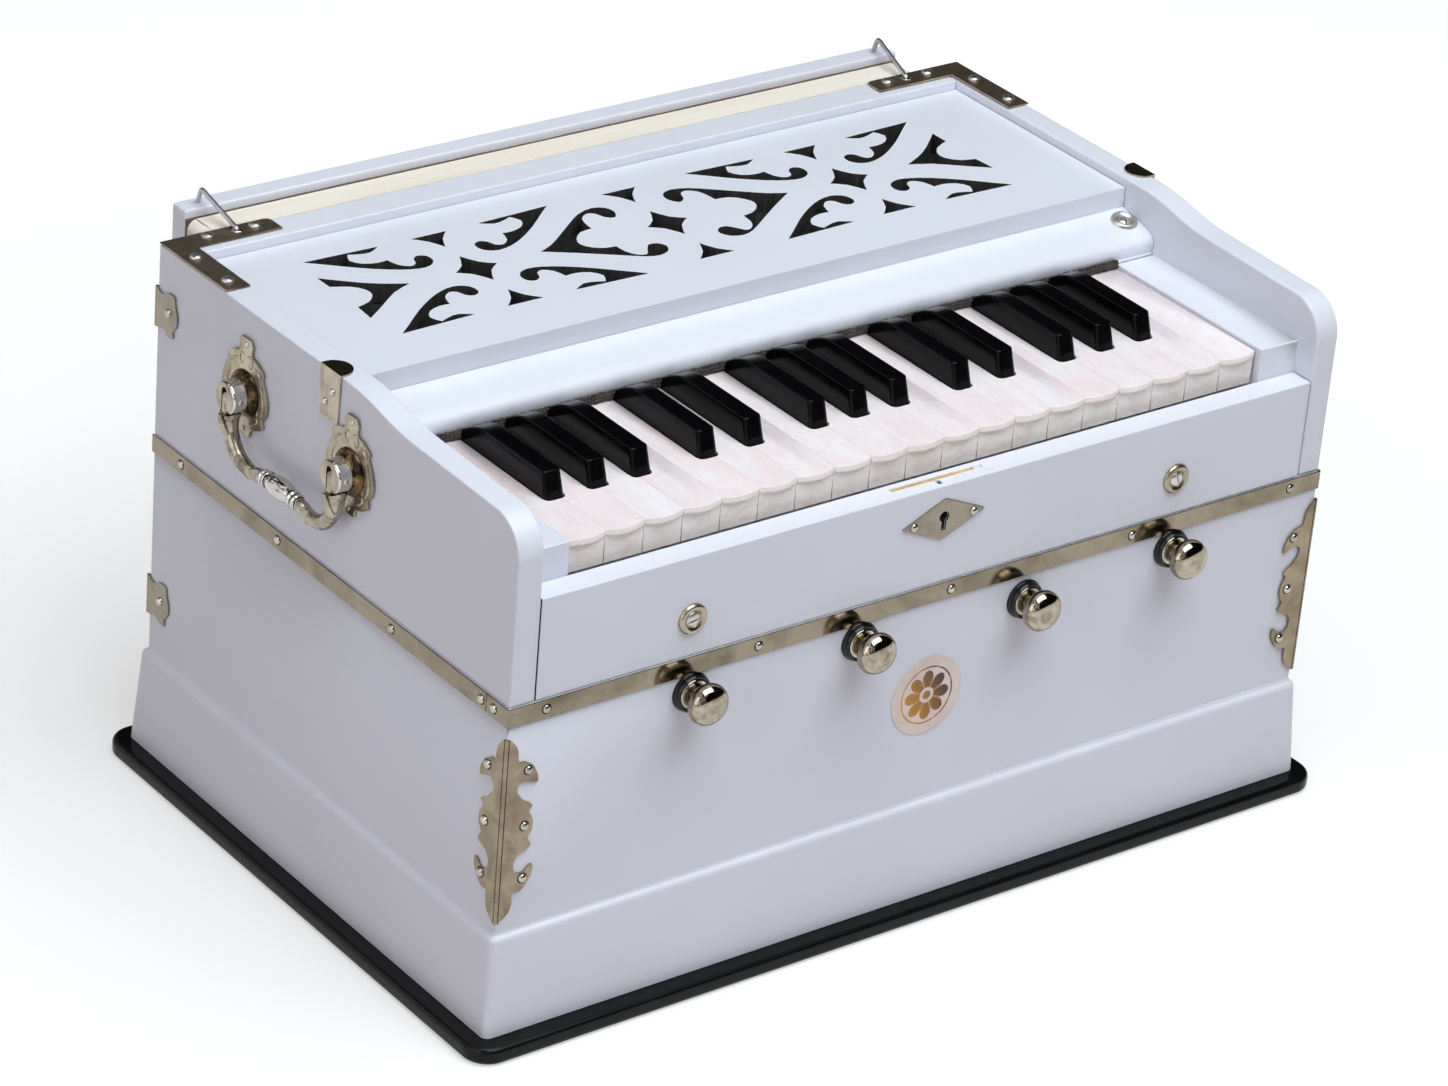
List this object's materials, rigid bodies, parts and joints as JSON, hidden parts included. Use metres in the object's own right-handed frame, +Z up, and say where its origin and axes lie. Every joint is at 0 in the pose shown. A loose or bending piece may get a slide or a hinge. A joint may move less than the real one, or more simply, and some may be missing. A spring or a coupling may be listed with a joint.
{
  "type": "portable reed organ",
  "caption": "Hand-pumped table harmonium with a short keyboard, drawstops, fretwork lid, drop handles and a hinged rear bellows.",
  "frame": {"origin": "centre of the base board's underside, under the middle of the case", "axes": "+X to the player's right, +Y towards the bellows at the back, +Z up"},
  "size_m": [0.528, 0.362, 0.2994],
  "materials": {
    "white_paint": "satin bluish-white paint on wood",
    "black_base": "gloss black lacquer on wood",
    "white_key": "pink and white marbled celluloid on wood",
    "black_key": "satin black",
    "nickel_plate": "polished nickel-plated sheet, warm tint",
    "bright_nickel": "bright nickel plate",
    "pine": "raw pale softwood",
    "bellows_cloth": "dark folded cloth and card"
  },
  "bodies": {
    "case": {"base_board": "black_base", "lower_case": "white_paint", "metal_band": "nickel_plate", "side_panel_left": "white_paint", "side_panel_right": "white_paint", "rear_panel": "white_paint", "front_panel": "white_paint", "cover_rail": "white_paint", "bellows_frame": "pine", "bellows_pleats": "bellows_cloth", "corner_plate_left": "nickel_plate", "corner_plate_right": "nickel_plate", "front_angle_left": "nickel_plate", "front_angle_right": "nickel_plate", "handle_mount_front_left": "nickel_plate", "handle_mount_rear_left": "nickel_plate", "handle_mount_front_right": "nickel_plate", "handle_mount_rear_right": "nickel_plate"},
    "key_f_1": {"key_f_1": "white_key"},
    "key_f_sharp_1": {"key_f_sharp_1": "black_key"},
    "key_g_1": {"key_g_1": "white_key"},
    "key_g_sharp_1": {"key_g_sharp_1": "black_key"},
    "key_a_1": {"key_a_1": "white_key"},
    "key_a_sharp_1": {"key_a_sharp_1": "black_key"},
    "key_b_1": {"key_b_1": "white_key"},
    "key_c_1": {"key_c_1": "white_key"},
    "key_c_sharp_1": {"key_c_sharp_1": "black_key"},
    "key_d_1": {"key_d_1": "white_key"},
    "key_d_sharp_1": {"key_d_sharp_1": "black_key"},
    "key_e_1": {"key_e_1": "white_key"},
    "key_f_2": {"key_f_2": "white_key"},
    "key_f_sharp_2": {"key_f_sharp_2": "black_key"},
    "key_g_2": {"key_g_2": "white_key"},
    "key_g_sharp_2": {"key_g_sharp_2": "black_key"},
    "key_a_2": {"key_a_2": "white_key"},
    "key_a_sharp_2": {"key_a_sharp_2": "black_key"},
    "key_b_2": {"key_b_2": "white_key"},
    "key_c_2": {"key_c_2": "white_key"},
    "key_c_sharp_2": {"key_c_sharp_2": "black_key"},
    "key_d_2": {"key_d_2": "white_key"},
    "key_d_sharp_2": {"key_d_sharp_2": "black_key"},
    "key_e_2": {"key_e_2": "white_key"},
    "key_f_3": {"key_f_3": "white_key"},
    "key_f_sharp_3": {"key_f_sharp_3": "black_key"},
    "key_g_3": {"key_g_3": "white_key"},
    "key_g_sharp_3": {"key_g_sharp_3": "black_key"},
    "key_a_3": {"key_a_3": "white_key"},
    "key_a_sharp_3": {"key_a_sharp_3": "black_key"},
    "key_b_3": {"key_b_3": "white_key"},
    "key_c_3": {"key_c_3": "white_key"},
    "drawstop_1": {"drawstop_1": "bright_nickel"},
    "drawstop_2": {"drawstop_2": "bright_nickel"},
    "drawstop_3": {"drawstop_3": "bright_nickel"},
    "drawstop_4": {"drawstop_4": "bright_nickel"},
    "handle_bail_left": {"handle_bail_left": "bright_nickel"},
    "handle_bail_right": {"handle_bail_right": "bright_nickel"},
    "bellows_hook_left": {"bellows_hook_left": "bright_nickel"},
    "bellows_hook_right": {"bellows_hook_right": "bright_nickel"},
    "bellows_board": {"bellows_board": "white_paint"},
    "fretwork_lid": {"fretwork_lid": "white_paint"}
  },
  "joints": [
    {"name": "key_f_1_press", "type": "hinge", "parent": "case", "child": "key_f_1", "pos_m": [0, -0.005, 0.234], "axis": [1, 0, 0], "range_deg": [0, 3.4], "stiffness_Nm_per_rad": 0.5, "springref_deg": -5.73},
    {"name": "key_f_sharp_1_press", "type": "hinge", "parent": "case", "child": "key_f_sharp_1", "pos_m": [0, -0.005, 0.234], "axis": [1, 0, 0], "range_deg": [0, 3.4], "stiffness_Nm_per_rad": 0.5, "springref_deg": -5.73},
    {"name": "key_g_1_press", "type": "hinge", "parent": "case", "child": "key_g_1", "pos_m": [0, -0.005, 0.234], "axis": [1, 0, 0], "range_deg": [0, 3.4], "stiffness_Nm_per_rad": 0.5, "springref_deg": -5.73},
    {"name": "key_g_sharp_1_press", "type": "hinge", "parent": "case", "child": "key_g_sharp_1", "pos_m": [0, -0.005, 0.234], "axis": [1, 0, 0], "range_deg": [0, 3.4], "stiffness_Nm_per_rad": 0.5, "springref_deg": -5.73},
    {"name": "key_a_1_press", "type": "hinge", "parent": "case", "child": "key_a_1", "pos_m": [0, -0.005, 0.234], "axis": [1, 0, 0], "range_deg": [0, 3.4], "stiffness_Nm_per_rad": 0.5, "springref_deg": -5.73},
    {"name": "key_a_sharp_1_press", "type": "hinge", "parent": "case", "child": "key_a_sharp_1", "pos_m": [0, -0.005, 0.234], "axis": [1, 0, 0], "range_deg": [0, 3.4], "stiffness_Nm_per_rad": 0.5, "springref_deg": -5.73},
    {"name": "key_b_1_press", "type": "hinge", "parent": "case", "child": "key_b_1", "pos_m": [0, -0.005, 0.234], "axis": [1, 0, 0], "range_deg": [0, 3.4], "stiffness_Nm_per_rad": 0.5, "springref_deg": -5.73},
    {"name": "key_c_1_press", "type": "hinge", "parent": "case", "child": "key_c_1", "pos_m": [0, -0.005, 0.234], "axis": [1, 0, 0], "range_deg": [0, 3.4], "stiffness_Nm_per_rad": 0.5, "springref_deg": -5.73},
    {"name": "key_c_sharp_1_press", "type": "hinge", "parent": "case", "child": "key_c_sharp_1", "pos_m": [0, -0.005, 0.234], "axis": [1, 0, 0], "range_deg": [0, 3.4], "stiffness_Nm_per_rad": 0.5, "springref_deg": -5.73},
    {"name": "key_d_1_press", "type": "hinge", "parent": "case", "child": "key_d_1", "pos_m": [0, -0.005, 0.234], "axis": [1, 0, 0], "range_deg": [0, 3.4], "stiffness_Nm_per_rad": 0.5, "springref_deg": -5.73},
    {"name": "key_d_sharp_1_press", "type": "hinge", "parent": "case", "child": "key_d_sharp_1", "pos_m": [0, -0.005, 0.234], "axis": [1, 0, 0], "range_deg": [0, 3.4], "stiffness_Nm_per_rad": 0.5, "springref_deg": -5.73},
    {"name": "key_e_1_press", "type": "hinge", "parent": "case", "child": "key_e_1", "pos_m": [0, -0.005, 0.234], "axis": [1, 0, 0], "range_deg": [0, 3.4], "stiffness_Nm_per_rad": 0.5, "springref_deg": -5.73},
    {"name": "key_f_2_press", "type": "hinge", "parent": "case", "child": "key_f_2", "pos_m": [0, -0.005, 0.234], "axis": [1, 0, 0], "range_deg": [0, 3.4], "stiffness_Nm_per_rad": 0.5, "springref_deg": -5.73},
    {"name": "key_f_sharp_2_press", "type": "hinge", "parent": "case", "child": "key_f_sharp_2", "pos_m": [0, -0.005, 0.234], "axis": [1, 0, 0], "range_deg": [0, 3.4], "stiffness_Nm_per_rad": 0.5, "springref_deg": -5.73},
    {"name": "key_g_2_press", "type": "hinge", "parent": "case", "child": "key_g_2", "pos_m": [0, -0.005, 0.234], "axis": [1, 0, 0], "range_deg": [0, 3.4], "stiffness_Nm_per_rad": 0.5, "springref_deg": -5.73},
    {"name": "key_g_sharp_2_press", "type": "hinge", "parent": "case", "child": "key_g_sharp_2", "pos_m": [0, -0.005, 0.234], "axis": [1, 0, 0], "range_deg": [0, 3.4], "stiffness_Nm_per_rad": 0.5, "springref_deg": -5.73},
    {"name": "key_a_2_press", "type": "hinge", "parent": "case", "child": "key_a_2", "pos_m": [0, -0.005, 0.234], "axis": [1, 0, 0], "range_deg": [0, 3.4], "stiffness_Nm_per_rad": 0.5, "springref_deg": -5.73},
    {"name": "key_a_sharp_2_press", "type": "hinge", "parent": "case", "child": "key_a_sharp_2", "pos_m": [0, -0.005, 0.234], "axis": [1, 0, 0], "range_deg": [0, 3.4], "stiffness_Nm_per_rad": 0.5, "springref_deg": -5.73},
    {"name": "key_b_2_press", "type": "hinge", "parent": "case", "child": "key_b_2", "pos_m": [0, -0.005, 0.234], "axis": [1, 0, 0], "range_deg": [0, 3.4], "stiffness_Nm_per_rad": 0.5, "springref_deg": -5.73},
    {"name": "key_c_2_press", "type": "hinge", "parent": "case", "child": "key_c_2", "pos_m": [0, -0.005, 0.234], "axis": [1, 0, 0], "range_deg": [0, 3.4], "stiffness_Nm_per_rad": 0.5, "springref_deg": -5.73},
    {"name": "key_c_sharp_2_press", "type": "hinge", "parent": "case", "child": "key_c_sharp_2", "pos_m": [0, -0.005, 0.234], "axis": [1, 0, 0], "range_deg": [0, 3.4], "stiffness_Nm_per_rad": 0.5, "springref_deg": -5.73},
    {"name": "key_d_2_press", "type": "hinge", "parent": "case", "child": "key_d_2", "pos_m": [0, -0.005, 0.234], "axis": [1, 0, 0], "range_deg": [0, 3.4], "stiffness_Nm_per_rad": 0.5, "springref_deg": -5.73},
    {"name": "key_d_sharp_2_press", "type": "hinge", "parent": "case", "child": "key_d_sharp_2", "pos_m": [0, -0.005, 0.234], "axis": [1, 0, 0], "range_deg": [0, 3.4], "stiffness_Nm_per_rad": 0.5, "springref_deg": -5.73},
    {"name": "key_e_2_press", "type": "hinge", "parent": "case", "child": "key_e_2", "pos_m": [0, -0.005, 0.234], "axis": [1, 0, 0], "range_deg": [0, 3.4], "stiffness_Nm_per_rad": 0.5, "springref_deg": -5.73},
    {"name": "key_f_3_press", "type": "hinge", "parent": "case", "child": "key_f_3", "pos_m": [0, -0.005, 0.234], "axis": [1, 0, 0], "range_deg": [0, 3.4], "stiffness_Nm_per_rad": 0.5, "springref_deg": -5.73},
    {"name": "key_f_sharp_3_press", "type": "hinge", "parent": "case", "child": "key_f_sharp_3", "pos_m": [0, -0.005, 0.234], "axis": [1, 0, 0], "range_deg": [0, 3.4], "stiffness_Nm_per_rad": 0.5, "springref_deg": -5.73},
    {"name": "key_g_3_press", "type": "hinge", "parent": "case", "child": "key_g_3", "pos_m": [0, -0.005, 0.234], "axis": [1, 0, 0], "range_deg": [0, 3.4], "stiffness_Nm_per_rad": 0.5, "springref_deg": -5.73},
    {"name": "key_g_sharp_3_press", "type": "hinge", "parent": "case", "child": "key_g_sharp_3", "pos_m": [0, -0.005, 0.234], "axis": [1, 0, 0], "range_deg": [0, 3.4], "stiffness_Nm_per_rad": 0.5, "springref_deg": -5.73},
    {"name": "key_a_3_press", "type": "hinge", "parent": "case", "child": "key_a_3", "pos_m": [0, -0.005, 0.234], "axis": [1, 0, 0], "range_deg": [0, 3.4], "stiffness_Nm_per_rad": 0.5, "springref_deg": -5.73},
    {"name": "key_a_sharp_3_press", "type": "hinge", "parent": "case", "child": "key_a_sharp_3", "pos_m": [0, -0.005, 0.234], "axis": [1, 0, 0], "range_deg": [0, 3.4], "stiffness_Nm_per_rad": 0.5, "springref_deg": -5.73},
    {"name": "key_b_3_press", "type": "hinge", "parent": "case", "child": "key_b_3", "pos_m": [0, -0.005, 0.234], "axis": [1, 0, 0], "range_deg": [0, 3.4], "stiffness_Nm_per_rad": 0.5, "springref_deg": -5.73},
    {"name": "key_c_3_press", "type": "hinge", "parent": "case", "child": "key_c_3", "pos_m": [0, -0.005, 0.234], "axis": [1, 0, 0], "range_deg": [0, 3.4], "stiffness_Nm_per_rad": 0.5, "springref_deg": -5.73},
    {"name": "drawstop_1_pull", "type": "slide", "parent": "case", "child": "drawstop_1", "axis": [0, -1, 0], "range_m": [0, 0.015]},
    {"name": "drawstop_2_pull", "type": "slide", "parent": "case", "child": "drawstop_2", "axis": [0, -1, 0], "range_m": [0, 0.015]},
    {"name": "drawstop_3_pull", "type": "slide", "parent": "case", "child": "drawstop_3", "axis": [0, -1, 0], "range_m": [0, 0.015]},
    {"name": "drawstop_4_pull", "type": "slide", "parent": "case", "child": "drawstop_4", "axis": [0, -1, 0], "range_m": [0, 0.015]},
    {"name": "handle_left_lift", "type": "hinge", "parent": "case", "child": "handle_bail_left", "pos_m": [-0.2568, 0.0265, 0.2425], "axis": [0, 1, 0], "range_deg": [0, 100]},
    {"name": "handle_right_lift", "type": "hinge", "parent": "case", "child": "handle_bail_right", "pos_m": [0.2568, 0.0265, 0.2425], "axis": [0, -1, 0], "range_deg": [0, 100]},
    {"name": "hook_left_swing", "type": "hinge", "parent": "case", "child": "bellows_hook_left", "pos_m": [-0.2083, 0.1485, 0.286], "axis": [0, 0, -1], "range_deg": [0, 100]},
    {"name": "hook_right_swing", "type": "hinge", "parent": "case", "child": "bellows_hook_right", "pos_m": [0.2083, 0.1485, 0.286], "axis": [0, 0, 1], "range_deg": [0, 100]},
    {"name": "bellows_open", "type": "hinge", "parent": "case", "child": "bellows_board", "pos_m": [0, 0.1747, 0.066], "axis": [-1, 0, 0], "range_deg": [0, 25], "deforming": ["bellows_pleats"]},
    {"name": "lid_lift_out", "type": "slide", "parent": "case", "child": "fretwork_lid", "axis": [0, 0, 1], "range_m": [0, 0.06]}
  ]
}
